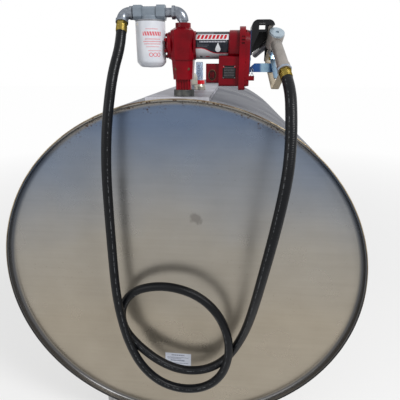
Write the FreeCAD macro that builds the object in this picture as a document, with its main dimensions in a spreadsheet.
"""Horizontal stainless steel fuel tank on four legs, with a transfer pump, filter, hose and nozzle.

Frame: millimetres, +Z up from the floor, +X to the right of someone who faces the front end,
+Y from the front end to the rear end, origin on the floor under the middle of the tank.
"""
import FreeCAD, Part
import math
import os
import re
import Sketcher

Vector = FreeCAD.Vector
Rotation = FreeCAD.Rotation

document = FreeCAD.newDocument("FuelTank")
sheet = document.addObject("Spreadsheet::Sheet", "Sizes")

# Driving dimensions in millimetres, angles in degrees.
sizes = {
    # Tank
    "tank_radius": 680, "tank_length": 1800, "shell_wall": 3, "fit_gap": 0.3,
    "head_wall": 4, "head_inset": 24, "head_knuckle": 15, "weld_bead": 3,
    "plate_width": 204, "plate_length": 870, "plate_rise": 4,
    # Legs
    "ground_gap": 130, "leg_spread": 340, "leg_set_back": 110,
    "channel_web": 90, "channel_flange": 45, "channel_wall": 6,
    "leg_pad_wall": 8, "leg_pad_margin": 20, "foot_side": 130, "foot_wall": 10,
    "anchor_hole_radius": 9, "anchor_offset": 40,
    # Fittings on the plate
    "pump_across": 15, "pump_back": 66, "bung_radius": 33, "bung_bore": 26, "bung_height": 20,
    "vent_across": 4, "vent_back": 285, "vent_pipe_radius": 24, "vent_pipe_height": 24,
    "vent_cap_radius": 36, "vent_cap_height": 46,
    "gauge_across": 38, "gauge_back": 400, "gauge_base_radius": 25, "gauge_base_height": 22,
    "gauge_ring_radius": 21, "gauge_ring_height": 15, "gauge_tube_radius": 15, "gauge_tube_height": 86,
    # Pump
    "spigot_radius": 25, "spigot_depth": 15,
    "neck_width": 48, "neck_depth": 56, "neck_height": 31, "neck_chamfer": 9,
    "rib_width": 4, "rib_pitch": 8.5, "rib_proud": 2.5,
    "waist_width": 60, "waist_depth": 78, "shoulder_height": 58, "shoulder_inset": 3,
    "block_width": 70, "block_depth": 94, "block_height": 84, "block_chamfer": 13,
    "crown_height": 10, "outlet_radius": 24, "outlet_height": 13, "outlet_bore": 13.6,
    "shaft_height": 152, "cover_radius": 40, "cover_thickness": 14, "cover_lip": 4,
    "cover_boss_radius": 6, "cover_boss_ring": 31, "cover_boss_height": 4, "cover_hub_radius": 15,
    "cover_hub_height": 7,
    "flange_radius": 42, "flange_thickness": 5,
    "motor_radius": 39.5, "motor_length": 104, "drum_radius": 44, "drum_length": 32,
    "bell_width": 108, "bell_height": 185, "bell_foot": 21, "bell_thickness": 18,
    "bell_round": 50, "bell_dome_inset": 9, "bell_dome_thickness": 14,
    "slot_length": 9, "slot_height": 4, "slot_pitch": 9, "slot_top": 172, "slot_depth": 6,
    "lug_side": 14, "lug_bottom": 49, "lug_length": 30,
    "box_width": 62, "box_depth": 84, "box_bottom": 32, "box_round": 8,
    "switch_width": 40, "switch_depth": 66, "switch_bottom": 41, "switch_top": 99,
    "plug_width": 18, "plug_height": 26, "plug_bottom": 52, "plug_thickness": 3,
    # Pipework above the pump
    "pipe_radius": 13.35, "pipe_line_height": 246, "elbow_reach": 33, "elbow_radius": 17,
    "elbow_band_radius": 19.5, "elbow_band": 9, "elbow_bore": 10,
    "outlet_nipple_length": 21, "filter_nipple_length": 4,
    "filter_head_width": 98, "filter_boss": 26, "filter_boss_side": 42, "filter_boss_cut": 9,
    "filter_middle_side": 34, "filter_collar_radius": 28, "filter_collar_height": 13,
    "filter_collar_round": 3,
    "can_radius": 46.5, "can_height": 138, "can_round": 12, "can_dome": 4,
    "hose_lean": 28,
    "coupling_radius": 16.5, "coupling_length": 22, "coupling_hex": 31, "coupling_hex_length": 9,
    "hose_radius": 16, "hose_start_run": 45, "hose_end_run": 45,
    # Nozzle and its holder
    "nozzle_across": 297.5, "nozzle_back": 45, "nozzle_height": 166.5,
    "nozzle_turn": -79, "nozzle_dip": 38.3, "nozzle_roll": -2,
    "chamber_radius": 24, "chamber_up": 20, "chamber_down": 27,
    "cap_radius": 22.5, "cap_thickness": 6, "cap_socket": 9,
    "grip_radius": 16, "grip_end_radius": 18, "grip_length": 144,
    "grip_collar_radius": 19.5, "grip_collar_length": 22,
    "spout_radius": 12, "spout_length": 150, "spout_drop": 56, "spout_wall": 1.6,
    "spout_back": 6, "spout_up": 8, "socket_radius": 16, "socket_length": 46,
    "hanger_reach": 40, "hanger_rise": 26, "hanger_width": 10, "hanger_side": 15, "hanger_wall": 6,
    "guard_width": 20, "guard_wall": 3.5, "guard_front": 9, "guard_drop": 80, "guard_reach": 122,
    "guard_sag": 88, "guard_end": 136,
    "pivot_across": 11, "pivot_drop": 36, "pin_radius": 3, "pin_gap": 0.05, "barrel_radius": 6,
    "ear_wall": 4, "ear_gap": 1.5, "trigger_width": 14, "trigger_wall": 3, "trigger_knee": 28,
    "trigger_knee_drop": 50, "trigger_reach": 104, "trigger_reach_drop": 60,
    "boot_width": 68, "boot_depth": 106, "boot_height": 97, "boot_wall": 4, "boot_round": 18,
    "boot_bottom": 124, "boot_front": 36, "boot_window": 18, "window_across": 21, "window_up": 70,
    "mouth_low": 20, "mouth_across": 22, "mouth_step": 43, "mouth_up": 63, "mouth_top": 82,
    "back_bottom": 44, "notch_depth": 72, "cradle_back": 64, "cradle_wall": 6, "cradle_height": 34,
    "bracket_wall": 3, "bracket_width": 62, "bracket_bottom": 68, "bracket_height": 124,
    "hook_length": 73, "hook_height": 26, "hook_bottom": 73.6, "hook_front": 14,
}
for row, (name, amount) in enumerate(sizes.items(), start=1):
    cell = "A%d" % row
    sheet.set(cell, str(amount))
    sheet.setAlias(cell, name)
document.recompute()

# Places that several pieces share, as expressions of the sizes.
AXIS_Z = "(ground_gap + tank_radius)"
FRONT_Y = "(-tank_length / 2)"
PLATE_Z = "(ground_gap + 2 * tank_radius + plate_rise)"
PUMP_Y = "(pump_back - tank_length / 2)"
SHAFT_Z = "(ground_gap + 2 * tank_radius + plate_rise + shaft_height)"
PIPE_Z = "(ground_gap + 2 * tank_radius + plate_rise + pipe_line_height)"
BLOCK_BASE = "(bung_height + fit_gap + neck_height + shoulder_height)"
BLOCK_RIGHT = "(pump_across + block_width / 2)"
MOTOR_LEFT = "(pump_across + block_width / 2 + flange_thickness)"
DRUM_LEFT = "(pump_across + block_width / 2 + flange_thickness + motor_length)"
BELL_LEFT = "(pump_across + block_width / 2 + flange_thickness + motor_length + drum_length)"
BRACKET_LEFT = ("(pump_across + block_width / 2 + flange_thickness + motor_length + drum_length"
                " + bell_thickness + bell_dome_thickness)")
INNER_RADIUS = "(tank_radius - shell_wall - fit_gap)"
PLATE_SAG = "(tank_radius - sqrt(tank_radius ^ 2 - (plate_width / 2) ^ 2))"

LEAN_FRONT = Rotation(Vector(1, 0, 0), 90)
LEAN_REAR = Rotation(Vector(1, 0, 0), -90)
ALONG_X = Rotation(Vector(0, 1, 0), 90)
UPRIGHT = Rotation()


def tie(text):
    """The expression with every size's name led by the sheet's name."""
    return re.sub(r"[a-z][a-z_]*", lambda m: "Sizes." + m.group() if m.group() in sizes else m.group(), text)


def value(text):
    """What an expression of the sizes gives now."""
    return float(sheet.evalExpression(tie(text)))


def point(x, y, z):
    """The vector whose three coordinates are expressions of the sizes."""
    return Vector(value(x), value(y), value(z))


def place(thing, x="0", y="0", z="0", turn=UPRIGHT):
    """Turns an object and ties its position to the sizes."""
    thing.Placement = FreeCAD.Placement(point(x, y, z), turn)
    thing.setExpression("Placement.Base.x", tie(x))
    thing.setExpression("Placement.Base.y", tie(y))
    thing.setExpression("Placement.Base.z", tie(z))
    return thing


def new_body(name, x="0", y="0", z="0", turn=UPRIGHT):
    """An empty body with its own name and place."""
    body = document.addObject("PartDesign::Body", name)
    body.Label = name
    return place(body, x, y, z, turn)


def new_sketch(body, role, lift="0"):
    """A sketch on one of the body's own origin planes, raised from it by an expression."""
    sketch = body.newObject("Sketcher::SketchObject", body.Name + "_sketch")
    plane = [f for f in body.Origin.OriginFeatures if f.Role == role][0]
    sketch.AttachmentSupport = [(plane, "")]
    sketch.MapMode = "FlatFace"
    sketch.setExpression("AttachmentOffset.Base.z", tie(lift))
    return sketch


def constrain(sketch, name, expression, *constraint):
    """Adds one dimension to a sketch, with a name, and ties it to the sizes."""
    index = sketch.addConstraint(Sketcher.Constraint(*constraint, value(expression)))
    sketch.renameConstraint(index, name)
    return name, tie(expression)


def outline(sketch, corners):
    """A closed outline of straight edges. A corner is (across, up) or (across, up, rounding)."""
    start = sketch.GeometryCount
    spots = [Vector(value(c[0]), value(c[1]), 0) for c in corners]
    count = len(spots)
    edges = [sketch.addGeometry(Part.LineSegment(spots[i], spots[(i + 1) % count])) for i in range(count)]
    for i in range(count):
        sketch.addConstraint(Sketcher.Constraint("Coincident", edges[i - 1], 2, edges[i], 1))
    ties = []
    for i, corner in enumerate(corners):
        tag = "_%d_%d" % (start, i)
        ties.append(constrain(sketch, "across" + tag, corner[0], "DistanceX", -1, 1, edges[i], 1))
        ties.append(constrain(sketch, "up" + tag, corner[1], "DistanceY", -1, 1, edges[i], 1))
    for i, corner in enumerate(corners):
        if len(corner) == 3:
            ties.append(round_corner(sketch, edges[i - 1], edges[i], corner[2], "round_%d_%d" % (start, i)))
    for name, expression in ties:
        sketch.setExpression("Constraints." + name, expression)
    return sketch


def round_corner(sketch, first, second, radius, name):
    """Rounds the corner between two edges and keeps the corner's own point."""
    before = sketch.GeometryCount
    near = [(sketch.Geometry[e].StartPoint + sketch.Geometry[e].EndPoint) * 0.5 for e in (first, second)]
    sketch.fillet(first, second, near[0], near[1], value(radius), True, True)
    arcs = [i for i in range(before, sketch.GeometryCount)
            if sketch.Geometry[i].TypeId == "Part::GeomArcOfCircle"]
    return constrain(sketch, name, radius, "Radius", arcs[0])


def circle(sketch, radius, across="0", up="0"):
    """A full circle with its centre and radius tied to the sizes."""
    tag = "_%d" % sketch.GeometryCount
    centre = Vector(value(across), value(up), 0)
    ring = sketch.addGeometry(Part.Circle(centre, Vector(0, 0, 1), value(radius)))
    ties = [
        constrain(sketch, "across" + tag, across, "DistanceX", -1, 1, ring, 3),
        constrain(sketch, "up" + tag, up, "DistanceY", -1, 1, ring, 3),
        constrain(sketch, "radius" + tag, radius, "Radius", ring),
    ]
    for name, expression in ties:
        sketch.setExpression("Constraints." + name, expression)
    return sketch


def add_feature(body, kind, sketch, **settings):
    """A feature made from one sketch. Settings that are text are expressions of the sizes."""
    feature = body.newObject("PartDesign::" + kind, body.Name + "_" + kind.lower())
    feature.Profile = sketch
    for name, setting in settings.items():
        if isinstance(setting, str):
            feature.setExpression(name, tie(setting))
        else:
            setattr(feature, name, setting)
    sketch.Visibility = False
    return feature


def revolve(body, corners):
    """Turns an outline of (radius, height) corners about the body's own Z axis."""
    sketch = outline(new_sketch(body, "XZ_Plane"), corners)
    return add_feature(body, "Revolution", sketch, ReferenceAxis=(sketch, ["V_Axis"]), Angle=360.0)


def pad(body, sketch, length, **settings):
    """Raises a sketch to a solid of the given length."""
    return add_feature(body, "Pad", sketch, Length=length, **settings)


def pocket(body, sketch, depth, **settings):
    """Cuts a sketch into the body to the given depth."""
    return add_feature(body, "Pocket", sketch, Length=depth, **settings)


def block_corners(width, depth, cut):
    """An oblong about the origin with its four corners cut off."""
    across, up = "(%s) / 2" % width, "(%s) / 2" % depth
    return [
        ("-%s + %s" % (across, cut), "-" + up), ("%s - %s" % (across, cut), "-" + up),
        (across, "-%s + %s" % (up, cut)), (across, "%s - %s" % (up, cut)),
        ("%s - %s" % (across, cut), up), ("-%s + %s" % (across, cut), up),
        ("-" + across, "%s - %s" % (up, cut)), ("-" + across, "-%s + %s" % (up, cut)),
    ]


def oblong(left, right, low, high, rounding=None):
    """A rectangle by its four sides, with all four corners rounded if a radius is given."""
    corners = [(left, low), (right, low), (right, high), (left, high)]
    return [c + (rounding,) for c in corners] if rounding else corners


def primitive(kind, name, x="0", y="0", z="0", turn=UPRIGHT, **dimensions):
    """A Part box, cylinder or like solid with its dimensions and place tied to the sizes."""
    solid = document.addObject("Part::" + kind, name)
    for key, expression in dimensions.items():
        solid.setExpression(key, tie(expression))
    return place(solid, x, y, z, turn)


def combine(kind, name, first, second):
    """A boolean of two objects."""
    result = document.addObject("Part::" + kind, name)
    result.Base = first
    result.Tool = second
    result.Label = name
    return result


def fuse(name, pieces):
    """One solid from several that touch."""
    result = document.addObject("Part::MultiFuse", name)
    result.Shapes = pieces
    result.Refine = True
    result.Label = name
    return result


# The tank: a rolled shell, two flanged heads set into its ends, and the edge welds.
def make_shell():
    """A rolled sheet, open at both ends."""
    body = new_body("shell", z=AXIS_Z)
    sketch = new_sketch(body, "XZ_Plane")
    circle(sketch, "tank_radius")
    circle(sketch, "tank_radius - shell_wall")
    pad(body, sketch, "tank_length", Midplane=True)
    return body


def make_head(name, y, turn):
    """A flat disc with its flange turned outwards, flush with the end of the shell."""
    body = new_body(name, y=y, z=AXIS_Z, turn=turn)
    revolve(body, [
        ("0", "-head_inset - head_wall"),
        (INNER_RADIUS, "-head_inset - head_wall", "head_knuckle + head_wall"),
        (INNER_RADIUS, "0"),
        (INNER_RADIUS + " - head_wall", "0"),
        (INNER_RADIUS + " - head_wall", "-head_inset", "head_knuckle"),
        ("0", "-head_inset"),
    ])
    return body


def make_rim_weld(name, y, turn):
    """The edge weld that closes the joint between shell and head flange."""
    body = new_body(name, y=y, z=AXIS_Z, turn=turn)
    inner = INNER_RADIUS + " - head_wall"
    revolve(body, [
        (inner, "0"),
        ("tank_radius", "0"),
        ("tank_radius", "weld_bead", "weld_bead * 0.7"),
        (inner, "weld_bead", "weld_bead * 0.7"),
    ])
    return body


def make_mounting_plate():
    """A flat-topped plate along the crown of the shell, its underside coped to the shell."""
    slab = primitive("Box", "plate_slab", "-plate_width / 2", FRONT_Y, AXIS_Z + " + tank_radius - " + PLATE_SAG,
                     Length="plate_width", Width="plate_length", Height="plate_rise + " + PLATE_SAG)
    drum = primitive("Cylinder", "plate_cope", "0", FRONT_Y + " - 1", AXIS_Z, LEAN_REAR,
                     Radius="tank_radius", Height="plate_length + 2")
    return combine("Cut", "mounting_plate", slab, drum)


def make_leg(name, side, end):
    """A channel column on a foot plate, welded to a curved pad on the shell."""
    x = "%d * leg_spread" % side
    y = "%d * (tank_length / 2 - leg_set_back)" % end
    column = new_body(name + "_column", x, y, "foot_wall", Rotation(Vector(0, 0, 1), 90 - 90 * side))
    half_web, half_flange = "channel_web / 2", "channel_flange / 2"
    sketch = outline(new_sketch(column, "XY_Plane"), [
        ("-" + half_flange, "-" + half_web), (half_flange, "-" + half_web), (half_flange, half_web),
        ("-" + half_flange, half_web), ("-" + half_flange, half_web + " - channel_wall"),
        (half_flange + " - channel_wall", half_web + " - channel_wall"),
        (half_flange + " - channel_wall", "-%s + channel_wall" % half_web),
        ("-" + half_flange, "-%s + channel_wall" % half_web),
    ])
    pad(column, sketch, "ground_gap + tank_radius / 2")
    drum = primitive("Cylinder", name + "_cope", "0", y + " - foot_side", AXIS_Z, LEAN_REAR,
                     Radius="tank_radius + leg_pad_wall", Height="2 * foot_side")
    post = combine("Cut", name + "_post", column, drum)
    ring = new_body(name + "_ring", "0", y, AXIS_Z)
    sketch = new_sketch(ring, "XZ_Plane")
    circle(sketch, "tank_radius + leg_pad_wall")
    circle(sketch, "tank_radius")
    pad(ring, sketch, "channel_web + 2 * leg_pad_margin", Midplane=True)
    stock = primitive("Box", name + "_stock", x + " - channel_flange / 2 - leg_pad_margin",
                      y + " - foot_side", "0", Length="channel_flange + 2 * leg_pad_margin",
                      Width="2 * foot_side", Height=AXIS_Z)
    pad_plate = combine("Common", name + "_pad", ring, stock)
    foot = new_body(name + "_foot", x, y, "0", Rotation(Vector(0, 0, 1), 90 - 90 * side))
    sketch = outline(new_sketch(foot, "XY_Plane"),
                     oblong("-foot_side / 2 - anchor_offset / 2", "foot_side / 2 - anchor_offset / 2",
                            "-foot_side / 2", "foot_side / 2", "channel_wall"))
    circle(sketch, "anchor_hole_radius", "-anchor_offset")
    pad(foot, sketch, "foot_wall")
    return fuse(name, [post, pad_plate, foot])


tank_parts = [make_shell(), make_mounting_plate()]
for end_name, y, turn in (("front", FRONT_Y, LEAN_FRONT), ("rear", "tank_length / 2", LEAN_REAR)):
    tank_parts.append(make_head(end_name + "_head", y, turn))
    tank_parts.append(make_rim_weld(end_name + "_rim_weld", y, turn))
for end_name, end in (("front", -1), ("rear", 1)):
    for side_name, side in (("left", -1), ("right", 1)):
        tank_parts.append(make_leg("leg_%s_%s" % (end_name, side_name), side, end))


# Fittings that stand on the mounting plate.
def make_pump_bung():
    """The threaded ring that the pump stands on."""
    body = new_body("pump_bung", "pump_across", PUMP_Y, PLATE_Z)
    revolve(body, [("bung_bore", "0"), ("bung_radius", "0"),
                   ("bung_radius", "bung_height", "2"), ("bung_bore", "bung_height")])
    return body


def make_vent():
    """A short pipe with a domed cap."""
    y = "vent_back - tank_length / 2"
    pipe = new_body("vent_pipe", "vent_across", y, PLATE_Z)
    revolve(pipe, [("0", "0"), ("vent_pipe_radius", "0"), ("vent_pipe_radius", "vent_pipe_height"),
                   ("0", "vent_pipe_height")])
    cap = new_body("vent_cap", "vent_across", y, PLATE_Z + " + vent_pipe_height")
    revolve(cap, [("0", "0"), ("vent_cap_radius", "0", "4"),
                  ("vent_cap_radius", "vent_cap_height", "vent_cap_radius * 0.6"), ("0", "vent_cap_height")])
    return [pipe, cap]


def make_gauge():
    """A float gauge: a threaded base, a collar and a clear tube with a closed top."""
    y = "gauge_back - tank_length / 2"
    base = new_body("gauge_base", "gauge_across", y, PLATE_Z)
    revolve(base, [("0", "0"), ("gauge_base_radius", "0", "1.5"),
                   ("gauge_base_radius", "gauge_base_height * 0.6"),
                   ("gauge_ring_radius", "gauge_base_height"), ("0", "gauge_base_height")])
    ring = new_body("gauge_collar", "gauge_across", y, PLATE_Z + " + gauge_base_height")
    revolve(ring, [("gauge_tube_radius + fit_gap", "0"), ("gauge_ring_radius", "0", "1.5"),
                   ("gauge_ring_radius", "gauge_ring_height", "1.5"),
                   ("gauge_tube_radius + fit_gap", "gauge_ring_height")])
    tube = new_body("gauge_tube", "gauge_across", y, PLATE_Z + " + gauge_base_height")
    revolve(tube, [("0", "gauge_tube_height - 3"), ("gauge_tube_radius - 2.5", "gauge_tube_height - 3"),
                   ("gauge_tube_radius - 2.5", "0"), ("gauge_tube_radius", "0"),
                   ("gauge_tube_radius", "gauge_tube_height", "3"), ("0", "gauge_tube_height")])
    return [base, ring, tube]


fitting_parts = [make_pump_bung()] + make_vent() + make_gauge()


# The pump: a casting with its cover, the motor, and the electrical boxes below the motor.
def make_pump_body():
    """The casting: spigot, neck, shoulder, block, crown and outlet, one above the other."""
    body = new_body("pump_body", "pump_across", PUMP_Y, PLATE_Z)
    neck_base = "bung_height + fit_gap"
    neck_top = neck_base + " + neck_height"
    block_top = BLOCK_BASE + " + block_height"
    crown_top = block_top + " + crown_height"
    sketch = circle(new_sketch(body, "XY_Plane", neck_base + " - spigot_depth"), "spigot_radius")
    pad(body, sketch, "spigot_depth")
    neck = outline(new_sketch(body, "XY_Plane", neck_base),
                   block_corners("neck_width", "neck_depth", "neck_chamfer"))
    pad(body, neck, "neck_height")
    rib_end = "neck_depth / 2 + rib_proud"
    for step in (-2, -1, 0, 1, 2):
        middle = "%d * rib_pitch" % step
        rib = outline(new_sketch(body, "XY_Plane", neck_base), oblong(
            middle + " - rib_width / 2", middle + " + rib_width / 2", "-(%s)" % rib_end, rib_end))
        pad(body, rib, "neck_height")
    low = outline(new_sketch(body, "XY_Plane", neck_top),
                  block_corners("waist_width", "waist_depth", "block_chamfer"))
    high = outline(new_sketch(body, "XY_Plane", BLOCK_BASE),
                   block_corners("block_width - shoulder_inset", "block_depth - 2 * shoulder_inset",
                                 "block_chamfer"))
    add_feature(body, "AdditiveLoft", low, Sections=[high])
    block = outline(new_sketch(body, "XY_Plane", BLOCK_BASE),
                    block_corners("block_width", "block_depth", "block_chamfer"))
    pad(body, block, "block_height")
    low = outline(new_sketch(body, "XY_Plane", block_top),
                  block_corners("block_width", "block_depth", "block_chamfer"))
    high = outline(new_sketch(body, "XY_Plane", crown_top),
                   block_corners("outlet_radius * 2", "outlet_radius * 2", "block_chamfer"))
    add_feature(body, "AdditiveLoft", low, Sections=[high])
    sketch = circle(new_sketch(body, "XY_Plane", crown_top), "outlet_radius")
    pad(body, sketch, "outlet_height")
    sketch = circle(new_sketch(body, "XY_Plane", crown_top + " + outlet_height"), "outlet_bore")
    pocket(body, sketch, "outlet_height")
    return body


def make_cover():
    """The round end cover of the pumping chamber, on the casting's left side, with six bolt bosses."""
    body = new_body("pump_cover", "pump_across - block_width / 2", PUMP_Y, SHAFT_Z,
                    Rotation(Vector(0, 1, 0), -90))
    revolve(body, [("0", "0"), ("cover_radius", "0"), ("cover_radius", "cover_thickness - cover_lip", "2"),
                   ("cover_radius - 8", "cover_thickness", "3"), ("0", "cover_thickness")])
    for turn in range(0, 360, 60):
        boss = circle(new_sketch(body, "XY_Plane", "cover_thickness"), "cover_boss_radius",
                      "cover_boss_ring * %.6f" % math.cos(math.radians(turn)),
                      "cover_boss_ring * %.6f" % math.sin(math.radians(turn)))
        pad(body, boss, "cover_boss_height")
    hub = circle(new_sketch(body, "XY_Plane", "cover_thickness"), "cover_hub_radius")
    pad(body, hub, "cover_hub_height", TaperAngle=-20.0)
    return body


def make_motor():
    """The motor's round housing between the casting's flange and the end drum."""
    flange = new_body("motor_flange", BLOCK_RIGHT, PUMP_Y, SHAFT_Z, ALONG_X)
    revolve(flange, [("0", "0"), ("flange_radius", "0", "1"), ("flange_radius", "flange_thickness", "1"),
                     ("0", "flange_thickness")])
    housing = new_body("motor_housing", MOTOR_LEFT, PUMP_Y, SHAFT_Z, ALONG_X)
    revolve(housing, [("0", "0"), ("motor_radius", "0"), ("motor_radius", "motor_length"),
                      ("0", "motor_length")])
    drum = new_body("motor_drum", DRUM_LEFT, PUMP_Y, SHAFT_Z, ALONG_X)
    revolve(drum, [("0", "0"), ("drum_radius", "0", "4"), ("drum_radius", "drum_length"),
                   ("0", "drum_length")])
    return [flange, housing, drum]


def make_end_bell():
    """The cast end plate that closes the motor and the box below it."""
    body = new_body("end_bell", BELL_LEFT, PUMP_Y, PLATE_Z)
    half = "bell_width / 2"
    top = "bell_foot + bell_height"
    sketch = outline(new_sketch(body, "YZ_Plane"), [
        ("-" + half, "bell_foot", "10"), (half, "bell_foot", "10"),
        (half, top, "bell_round"), ("-" + half, top, "bell_round")])
    pad(body, sketch, "bell_thickness")
    inset = half + " - bell_dome_inset"
    sketch = outline(new_sketch(body, "YZ_Plane", "bell_thickness"), [
        ("-(%s)" % inset, "bell_foot + bell_dome_inset", "10"), (inset, "bell_foot + bell_dome_inset", "10"),
        (inset, top + " - bell_dome_inset", "bell_round - bell_dome_inset"),
        ("-(%s)" % inset, top + " - bell_dome_inset", "bell_round - bell_dome_inset")])
    pad(body, sketch, "bell_dome_thickness", TaperAngle=-12.0)
    slots = new_sketch(body, "XZ_Plane", half)
    for step in range(3):
        low = "slot_top - %d * slot_pitch" % step
        outline(slots, oblong("bell_thickness - slot_length - 3", "bell_thickness - 3", low,
                              low + " + slot_height"))
    pocket(body, slots, "slot_depth")
    lug = outline(new_sketch(body, "YZ_Plane", "bell_thickness"), oblong(
        "-(%s)" % inset, "-(%s) + lug_side" % inset, "lug_bottom", "lug_bottom + lug_side", "3"))
    pad(body, lug, "lug_length")
    return body


def make_boxes():
    """The junction box under the motor drum and the smaller switch box beside it."""
    right = BELL_LEFT
    box = new_body("junction_box", right + " - box_width", PUMP_Y, PLATE_Z)
    sketch = outline(new_sketch(box, "YZ_Plane"), oblong(
        "-box_depth / 2", "box_depth / 2", "box_bottom", "shaft_height - drum_radius * 0.7", "box_round"))
    pad(box, sketch, "box_width")
    sketch = circle(new_sketch(box, "YZ_Plane", "-1"), "drum_radius + fit_gap", "0", "shaft_height")
    pocket(box, sketch, "box_width + 2", Reversed=True)
    switch = new_body("switch_box", right + " - box_width - switch_width", PUMP_Y, PLATE_Z)
    sketch = outline(new_sketch(switch, "YZ_Plane"), oblong(
        "-switch_depth / 2", "switch_depth / 2", "switch_bottom", "switch_top", "box_round"))
    pad(switch, sketch, "switch_width")
    return [box, switch]


pump_parts = [make_pump_body(), make_cover(), make_end_bell()] + make_motor() + make_boxes()

# Pipework: elbow on the pump's outlet, nipple, filter head with its can, and the elbow to the hose.
OUTLET_TOP = ("(bung_height + fit_gap + neck_height + shoulder_height + block_height + crown_height"
              " + outlet_height)")
FILTER_RIGHT = "(pump_across - elbow_reach - outlet_nipple_length)"
HOSE_ELBOW_X = ("(pump_across - 2 * elbow_reach - outlet_nipple_length - filter_head_width"
                " - filter_nipple_length)")


def make_elbow(name, x, turn, tail=None):
    """A quarter bend with a banded end towards its own -X, and one or a plain tail towards its own -Z."""
    body = new_body(name, x, PUMP_Y, PIPE_Z, turn)
    bend = "(elbow_reach - elbow_band)"
    start = circle(new_sketch(body, "XY_Plane", "-" + bend), "elbow_radius")
    axis = start.addGeometry(Part.LineSegment(Vector(-value(bend), 0, 0), Vector(-value(bend), 50, 0)), True)
    start.addConstraint(Sketcher.Constraint("Vertical", axis))
    start.addConstraint(Sketcher.Constraint("PointOnObject", axis, 1, -1))
    tied = constrain(start, "bend", "-" + bend, "DistanceX", -1, 1, axis, 1)
    start.addConstraint(Sketcher.Constraint("DistanceY", axis, 1, axis, 2, 50))
    start.setExpression("Constraints." + tied[0], tied[1])
    add_feature(body, "Revolution", start, ReferenceAxis=(start, ["Axis0"]), Angle=90.0, Reversed=True)
    band = circle(new_sketch(body, "YZ_Plane", "-elbow_reach"), "elbow_band_radius")
    pad(body, band, "elbow_band")
    if tail:
        end = circle(new_sketch(body, "XY_Plane", "-" + tail), "pipe_radius")
        pad(body, end, "%s - %s" % (tail, bend))
    else:
        end = circle(new_sketch(body, "XY_Plane", "-elbow_reach"), "elbow_band_radius")
        pad(body, end, "elbow_band")
    return body


def make_nipple(name, x, length):
    """A short pipe along X between two fittings."""
    body = new_body(name, x, PUMP_Y, PIPE_Z, ALONG_X)
    revolve(body, [("elbow_bore", "0"), ("pipe_radius", "0"), ("pipe_radius", length), ("elbow_bore", length)])
    return body


def make_filter_head():
    """The cast head: two square bosses, a slimmer middle between them and a round collar below."""
    body = new_body("filter_casting", FILTER_RIGHT + " - filter_head_width", PUMP_Y, PIPE_Z)
    for lift in ("0", "filter_head_width - filter_boss"):
        boss = outline(new_sketch(body, "YZ_Plane", lift),
                       block_corners("filter_boss_side", "filter_boss_side", "filter_boss_cut"))
        pad(body, boss, "filter_boss")
    middle = outline(new_sketch(body, "YZ_Plane"), block_corners("filter_middle_side", "filter_middle_side", "7"))
    pad(body, middle, "filter_head_width")
    middle_x = FILTER_RIGHT + " - filter_head_width / 2"
    collar = new_body("filter_collar", middle_x, PUMP_Y, PIPE_Z + " - filter_boss_side / 2")
    revolve(collar, [("0", "0"), ("filter_collar_radius", "0"),
                     ("filter_collar_radius", "filter_collar_height", "filter_collar_round"),
                     ("0", "filter_collar_height")])
    return fuse("filter_head", [body, collar])


def make_filter_can():
    """The spin-on can under the filter head."""
    body = new_body("filter_can", FILTER_RIGHT + " - filter_head_width / 2", PUMP_Y,
                    PIPE_Z + " - filter_boss_side / 2 - can_height")
    revolve(body, [("0", "0"), ("can_radius - can_round", "can_dome * 0.5", "20"),
                   ("can_radius", "can_dome + can_round", "can_round"),
                   ("can_radius", "can_height", "5"), ("0", "can_height")])
    return body


def make_coupling(name, x, y, z, turn):
    """A hose end along its own -Z: six flats and then a round ferrule."""
    body = new_body(name, x, y, z, turn)
    half, side = "(coupling_hex / 2)", "(coupling_hex / 2 * 1.1547)"
    flats = outline(new_sketch(body, "XY_Plane", "-coupling_hex_length"), [
        (side, "0"), (side + " / 2", half), ("-%s / 2" % side, half),
        ("-" + side, "0"), ("-%s / 2" % side, "-" + half), (side + " / 2", "-" + half)])
    pad(body, flats, "coupling_hex_length")
    ferrule = circle(new_sketch(body, "XY_Plane", "-coupling_hex_length - coupling_length"), "coupling_radius")
    pad(body, ferrule, "coupling_length")
    return body


OUTLET_TAIL = "(pipe_line_height - %s + 8)" % OUTLET_TOP
HOSE_TURN = Rotation(Vector(1, 0, 0), -sizes["hose_lean"])
pipe_parts = [
    make_elbow("outlet_elbow", "pump_across", UPRIGHT, OUTLET_TAIL),
    make_nipple("outlet_nipple", FILTER_RIGHT, "outlet_nipple_length"),
    make_filter_head(),
    make_filter_can(),
    make_nipple("filter_nipple", FILTER_RIGHT + " - filter_head_width - filter_nipple_length",
                "filter_nipple_length"),
    make_elbow("hose_elbow", HOSE_ELBOW_X, HOSE_TURN * Rotation(Vector(0, 0, 1), 180)),
    make_coupling("hose_end_filter", HOSE_ELBOW_X, PUMP_Y + " - elbow_reach * sin(hose_lean)",
                  PIPE_Z + " - elbow_reach * cos(hose_lean)", HOSE_TURN),
]


# The nozzle, in its own frame: +X along the grip to the hose, +Z through the cap, origin in the chamber.
NOZZLE_TURN = (Rotation(Vector(0, 0, 1), sizes["nozzle_turn"]) * Rotation(Vector(0, 1, 0), sizes["nozzle_dip"])
               * Rotation(Vector(1, 0, 0), sizes["nozzle_roll"]))
SPOUT_TURN = NOZZLE_TURN * Rotation(Vector(0, 1, 0), -90 - sizes["spout_drop"])
NOZZLE_X = "nozzle_across"
NOZZLE_Y = "(nozzle_back - tank_length / 2)"
NOZZLE_Z = "(ground_gap + 2 * tank_radius + plate_rise + nozzle_height)"


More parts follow.
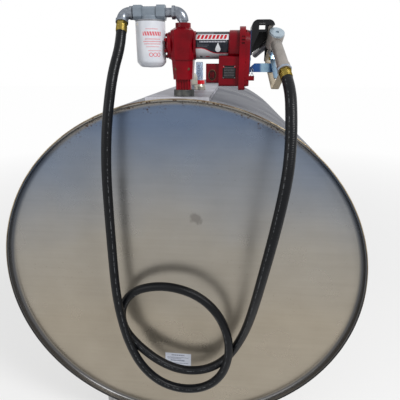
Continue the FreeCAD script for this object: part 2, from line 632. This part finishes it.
def nozzle_piece(name, turn=NOZZLE_TURN, back="0", up="0"):
    """An empty body in the nozzle's frame, moved towards the frame's -X and +Z."""
    along, over = NOZZLE_TURN.multVec(Vector(-1, 0, 0)), NOZZLE_TURN.multVec(Vector(0, 0, 1))
    spot = ["%s + (%s) * (%.6f) + (%s) * (%.6f)" % (middle, back, a, up, b) for middle, a, b in
            zip((NOZZLE_X, NOZZLE_Y, NOZZLE_Z), along, over)]
    return new_body(name, *spot, turn)


def spout_piece(name):
    """An empty body whose +Z runs down the spout from the spout's root."""
    return nozzle_piece(name, SPOUT_TURN, "spout_back", "spout_up")


def make_nozzle_body():
    """The casting: an upright chamber, the grip, the spout's socket, a hanger and two ears for the pin."""
    body = nozzle_piece("nozzle_casting")
    revolve(body, [("0", "-chamber_down"), ("chamber_radius", "-chamber_down", "8"),
                   ("chamber_radius", "chamber_up"), ("0", "chamber_up")])
    near = circle(new_sketch(body, "YZ_Plane"), "grip_radius")
    far = circle(new_sketch(body, "YZ_Plane", "grip_length"), "grip_end_radius")
    add_feature(body, "AdditiveLoft", near, Sections=[far])
    collar = circle(new_sketch(body, "YZ_Plane", "grip_length - grip_collar_length"), "grip_collar_radius")
    pad(body, collar, "grip_collar_length")
    hanger = outline(new_sketch(body, "XZ_Plane", "hanger_side"), [
        ("-chamber_radius / 2", "-hanger_wall"), ("-chamber_radius - 2", "0"),
        ("-hanger_reach", "hanger_rise - hanger_wall"), ("-hanger_reach", "hanger_rise"),
        ("-hanger_reach + hanger_wall", "hanger_rise"), ("-chamber_radius + 2", "hanger_wall + 3"),
        ("-chamber_radius / 2", "hanger_wall")])
    pad(body, hanger, "hanger_width", Midplane=True)
    half = "(trigger_width / 2 + ear_gap)"
    for sign in (-1, 1):
        ear = new_sketch(body, "XZ_Plane", "%d * (%s + ear_wall / 2)" % (sign, half))
        outline(ear, [("pivot_across - barrel_radius", "-pivot_drop - barrel_radius", "barrel_radius * 0.9"),
                      ("pivot_across + barrel_radius", "-pivot_drop - barrel_radius", "barrel_radius * 0.9"),
                      ("pivot_across + barrel_radius", "-chamber_down / 2"),
                      ("pivot_across - barrel_radius", "-chamber_down / 2")])
        pad(body, ear, "ear_wall", Midplane=True)
    hole = circle(new_sketch(body, "XZ_Plane"), "pin_radius + pin_gap", "pivot_across", "-pivot_drop")
    pocket(body, hole, "2 * chamber_radius", Midplane=True)
    socket = spout_piece("nozzle_socket")
    revolve(socket, [("0", "0"), ("socket_radius + 3", "0"), ("socket_radius", "socket_length"),
                     ("0", "socket_length")])
    return fuse("nozzle_body", [body, socket])


def make_nozzle_cap():
    """The screwed cap of the chamber, with a square key hole."""
    body = nozzle_piece("nozzle_cap")
    disc = circle(new_sketch(body, "XY_Plane", "chamber_up"), "cap_radius")
    pad(body, disc, "cap_thickness")
    key = outline(new_sketch(body, "XY_Plane", "chamber_up + cap_thickness"),
                  oblong("-cap_socket / 2", "cap_socket / 2", "-cap_socket / 2", "cap_socket / 2"))
    pocket(body, key, "cap_thickness * 0.6")
    return body


def make_spout():
    """A plain tube that leaves the casting's socket, open at its end."""
    body = spout_piece("nozzle_spout")
    revolve(body, [("spout_radius - spout_wall", "socket_length"), ("spout_radius", "socket_length"),
                   ("spout_radius", "spout_length", "1"), ("spout_radius - spout_wall", "spout_length")])
    return body


def bent_strip(name, width, wall, route):
    """A flat strip that follows a route in its own XZ plane. The route starts straight down."""
    body = nozzle_piece(name)
    path = new_sketch(body, "XZ_Plane")
    spots = [Vector(value(c[0]), value(c[1]), 0) for c in route]
    edges = [path.addGeometry(Part.LineSegment(a, b)) for a, b in zip(spots, spots[1:])]
    for first, second in zip(edges, edges[1:]):
        path.addConstraint(Sketcher.Constraint("Coincident", first, 2, second, 1))
    ties = []
    for i, corner in enumerate(route):
        edge, end = (edges[i], 1) if i < len(edges) else (edges[-1], 2)
        ties.append(constrain(path, "across_%d" % i, corner[0], "DistanceX", -1, 1, edge, end))
        ties.append(constrain(path, "up_%d" % i, corner[1], "DistanceY", -1, 1, edge, end))
    for i, corner in enumerate(route):
        if len(corner) == 3:
            ties.append(round_corner(path, edges[i - 1], edges[i], corner[2], "round_%d" % i))
    for tied_name, expression in ties:
        path.setExpression("Constraints." + tied_name, expression)
    section = outline(new_sketch(body, "XY_Plane", route[0][1]), oblong(
        "%s - %s / 2" % (route[0][0], wall), "%s + %s / 2" % (route[0][0], wall),
        "-%s / 2" % width, "%s / 2" % width))
    document.recompute()
    strip = body.newObject("PartDesign::AdditivePipe", name + "_strip")
    strip.Profile = section
    strip.Spine = path
    strip.Mode = "Frenet"
    return body


def make_guard(nozzle_body):
    """The guard loop under the grip, cut to meet the casting."""
    strip = bent_strip("guard_strip", "guard_width", "guard_wall", [
        ("-guard_front", "-chamber_down / 2"), ("-guard_front", "-guard_drop", "14"),
        ("guard_reach", "-guard_sag", "14"), ("guard_end", "0")])
    return combine("Cut", "nozzle_guard", strip, nozzle_body)


def make_trigger():
    """The trigger: a barrel on the pin and a bent lever under the grip."""
    body = nozzle_piece("nozzle_trigger")
    barrel = new_sketch(body, "XZ_Plane")
    circle(barrel, "barrel_radius", "pivot_across", "-pivot_drop")
    pad(body, barrel, "trigger_width", Midplane=True)
    lever = outline(new_sketch(body, "XZ_Plane"), [
        ("pivot_across", "-pivot_drop - barrel_radius"),
        ("trigger_knee", "-trigger_knee_drop", "10"),
        ("trigger_reach", "-trigger_reach_drop"),
        ("trigger_reach", "-trigger_reach_drop + trigger_wall"),
        ("trigger_knee", "-trigger_knee_drop + trigger_wall", "7"),
        ("pivot_across", "-pivot_drop")])
    pad(body, lever, "trigger_width", Midplane=True)
    hole = circle(new_sketch(body, "XZ_Plane"), "pin_radius + pin_gap", "pivot_across", "-pivot_drop")
    pocket(body, hole, "2 * trigger_width", Midplane=True)
    return body


def make_pin():
    """The pin that the trigger turns on."""
    body = nozzle_piece("trigger_pin")
    sketch = circle(new_sketch(body, "XZ_Plane"), "pin_radius", "pivot_across", "-pivot_drop")
    pad(body, sketch, "trigger_width + 2 * ear_gap + 2 * ear_wall", Midplane=True)
    return body


nozzle_body = make_nozzle_body()
GRIP_END = NOZZLE_TURN.multVec(Vector(1, 0, 0))
nozzle_parts = [
    nozzle_body,
    make_nozzle_cap(),
    make_spout(),
    make_guard(nozzle_body),
    make_trigger(),
    make_pin(),
    make_coupling("hose_end_nozzle", NOZZLE_X + " + grip_length * %.6f" % GRIP_END.x,
                  NOZZLE_Y + " + grip_length * (%.6f)" % GRIP_END.y,
                  NOZZLE_Z + " + grip_length * (%.6f)" % GRIP_END.z,
                  NOZZLE_TURN * Rotation(Vector(0, 1, 0), -90)),
]


# The nozzle's holder on the end bell: a steel bracket with a hook, and the hood that takes the spout.
def make_bracket():
    """A flat plate against the end bell with a tongue bent out of it."""
    body = new_body("holder_bracket", BRACKET_LEFT, PUMP_Y, PLATE_Z)
    plate = outline(new_sketch(body, "YZ_Plane"), oblong(
        "-bracket_width / 2", "bracket_width / 2", "bracket_bottom", "bracket_bottom + bracket_height"))
    pad(body, plate, "bracket_wall")
    hook = outline(new_sketch(body, "XZ_Plane", "hook_front"), [
        ("0", "hook_bottom"), ("bracket_wall + hook_length", "hook_bottom"),
        ("bracket_wall + hook_length", "hook_bottom + hook_height"),
        ("bracket_wall + 14", "hook_bottom + hook_height"), ("bracket_wall", "hook_bottom + hook_height - 12"),
        ("0", "hook_bottom + hook_height - 12")])
    pad(body, hook, "bracket_wall", Reversed=True)
    return body


def make_boot():
    """A moulded hood, open below. Its front has a window and a mouth, and a saddle inside carries the spout."""
    left = BRACKET_LEFT + " + bracket_wall"
    front = "boot_front - 6 - tank_length / 2"
    body = new_body("boot_hood", left, front, PLATE_Z + " + boot_bottom")
    outer = outline(new_sketch(body, "XZ_Plane"), [
        ("0", "0"), ("boot_width", "0"), ("boot_width", "boot_height", "boot_round"),
        ("0", "boot_height", "boot_round")])
    pad(body, outer, "boot_depth", Reversed=True)
    inner = outline(new_sketch(body, "XZ_Plane", "-boot_wall"), [
        ("boot_wall", "-1"), ("boot_width - boot_wall", "-1"),
        ("boot_width - boot_wall", "boot_height - boot_wall", "boot_round - boot_wall"),
        ("boot_wall", "boot_height - boot_wall", "boot_round - boot_wall")])
    pocket(body, inner, "boot_depth - 2 * boot_wall")
    mouth = outline(new_sketch(body, "XZ_Plane"), [
        ("boot_wall", "-1"), ("boot_wall", "mouth_low"), ("mouth_across", "mouth_up"),
        ("mouth_step", "mouth_up"), ("mouth_step + 4", "mouth_top"), ("boot_width + 1", "mouth_top"),
        ("boot_width + 1", "-1")])
    pocket(body, mouth, "boot_wall")
    window = outline(new_sketch(body, "XZ_Plane"), oblong(
        "window_across", "window_across + boot_window", "window_up", "window_up + boot_window"))
    pocket(body, window, "boot_depth + 1")
    low_back = outline(new_sketch(body, "XZ_Plane"), oblong(
        "boot_wall", "boot_width - boot_wall", "-1", "back_bottom"))
    pocket(body, low_back, "boot_depth + 1")
    notch = outline(new_sketch(body, "YZ_Plane", "boot_width + 1"), oblong(
        "-1", "notch_depth", "-1", "mouth_top"))
    pocket(body, notch, "boot_wall + 2")
    cradle = new_body("boot_cradle", left, front + " + cradle_back", PLATE_Z + " + boot_bottom")
    web = outline(new_sketch(cradle, "XZ_Plane"), [
        ("boot_wall / 2", "0"), ("boot_width - boot_wall / 2", "0"),
        ("boot_width - boot_wall / 2", "cradle_height"), ("boot_wall / 2", "cradle_height")])
    pad(cradle, web, "cradle_wall", Reversed=True)
    whole = fuse("boot_whole", [body, cradle])
    room = spout_piece("boot_room")
    revolve(room, [("0", "0"), ("spout_radius + fit_gap", "0"), ("spout_radius + fit_gap", "spout_length * 2"),
                   ("0", "spout_length * 2")])
    return combine("Cut", "nozzle_boot", whole, room)


def make_plug():
    """The oval plug in the front of the switch box."""
    body = new_body("inspection_plug", BELL_LEFT + " - box_width - (switch_width + plug_width) / 2",
                    PUMP_Y + " - switch_depth / 2", PLATE_Z + " + plug_bottom")
    sketch = outline(new_sketch(body, "XZ_Plane"),
                     oblong("0", "plug_width", "0", "plug_height", "plug_width * 0.45"))
    pad(body, sketch, "plug_thickness")
    return body


holder_parts = [make_bracket(), make_boot(), make_plug()]


# The hose, from the filter's end down in front of the tank, once round in a loop, and up to the nozzle.
# A row is: across, in front of the tank's front end, above the plate.
HOSE_ROWS = [
    (-190, 14, 86), (-198, 45, 21), (-215, 61, -94), (-228, 62, -234), (-232, 60, -394),
    (-233, 62, -554), (-232, 64, -694), (-221, 63, -809), (-200, 60, -924), (-158, 56, -1039), (-84, 54, -1122),
    (10, 54, -1151), (102, 58, -1127), (165, 64, -1054), (191, 71, -949), (184, 70, -849),
    (143, 62, -759), (75, 55, -696), (-10, 48, -668), (-95, 41, -670), (-180, 32, -704),
    (-232, 26, -784), (-229, 28, -879), (-170, 34, -959), (-85, 37, -1032), (10, 38, -1069),
    (110, 35, -1057), (188, 34, -991), (240, 65, -854), (262, 140, -694), (283, 195, -514),
    (307, 228, -334), (326, 226, -194), (332, 201, -109), (331, 174, -34),
]


def rounded_wire(points, share=0.45):
    """Straight runs joined by arcs that touch both, and the arcs' radii."""
    edges, radii, last = [], [], points[0]
    for before, corner, after in zip(points, points[1:], points[2:]):
        into, away = corner - before, after - corner
        reach = share * min(into.Length, away.Length)
        half_turn = into.getAngle(away) / 2
        into.normalize()
        away.normalize()
        radius = reach / math.tan(half_turn)
        middle = corner + (away - into).normalize() * radius * (1 / math.cos(half_turn) - 1)
        start, end = corner - into * reach, corner + away * reach
        edges.append(Part.LineSegment(last, start).toShape())
        edges.append(Part.Arc(start, middle, end).toShape())
        radii.append(radius)
        last = end
    edges.append(Part.LineSegment(last, points[-1]).toShape())
    return Part.Wire(edges), radii


def make_hose():
    """A tube of one section along the route. Both ends leave their couplings straight."""
    reach = sizes["coupling_hex_length"] + sizes["coupling_length"]
    starts = []
    for coupling, run in ((pipe_parts[-1], "hose_start_run"), (nozzle_parts[-1], "hose_end_run")):
        away = coupling.Placement.Rotation.multVec(Vector(0, 0, -1))
        end = coupling.Placement.Base + away * reach
        starts.append((end, end + away * value(run)))
    front, plate = value(FRONT_Y), value(PLATE_Z)
    route = [starts[0][0], starts[0][1]]
    route += [Vector(across, front - forward, plate + up) for across, forward, up in HOSE_ROWS]
    route += [starts[1][1], starts[1][0]]
    wire, radii = rounded_wire(route)
    ring = Part.Circle(route[0], route[1] - route[0], value("hose_radius")).toShape()
    tube = document.addObject("Part::Feature", "hose")
    tube.Shape = Part.Wire(wire.Edges).makePipe(Part.Face(Part.Wire(ring)))
    tube.Label = "hose"
    expected = math.pi * value("hose_radius") ** 2 * wire.Length
    print("hose length %.0f mm, volume over section times length %.4f" % (wire.Length, tube.Shape.Volume / expected))
    print("hose radii in mm:", " ".join("%.0f" % r for r in radii))
    print("hose points in mm:", " ".join("(%.1f, %.1f, %.1f)" % tuple(p) for p in route))
    return tube


document.recompute()
hose = make_hose()
document.recompute()

# Every object has to be sound before any file is written.
parts = tank_parts + fitting_parts + pump_parts + pipe_parts + nozzle_parts + holder_parts + [hose]
for thing in document.Objects:
    if "Invalid" in thing.State or "Error" in thing.State:
        raise RuntimeError("%s is not sound: %s" % (thing.Name, thing.State))
for piece in parts:
    if piece.Shape.isNull() or not piece.Shape.isValid() or len(piece.Shape.Solids) != 1:
        raise RuntimeError("%s is not one valid solid" % piece.Label)
    if piece.Shape.Volume <= 0:
        raise RuntimeError("%s has no volume" % piece.Label)

os.makedirs("parts", exist_ok=True)
for piece in parts:
    piece.Shape.exportStep("parts/%s.step" % piece.Label)
    print(piece.Label, "%.1f cm3" % (piece.Shape.Volume / 1000))
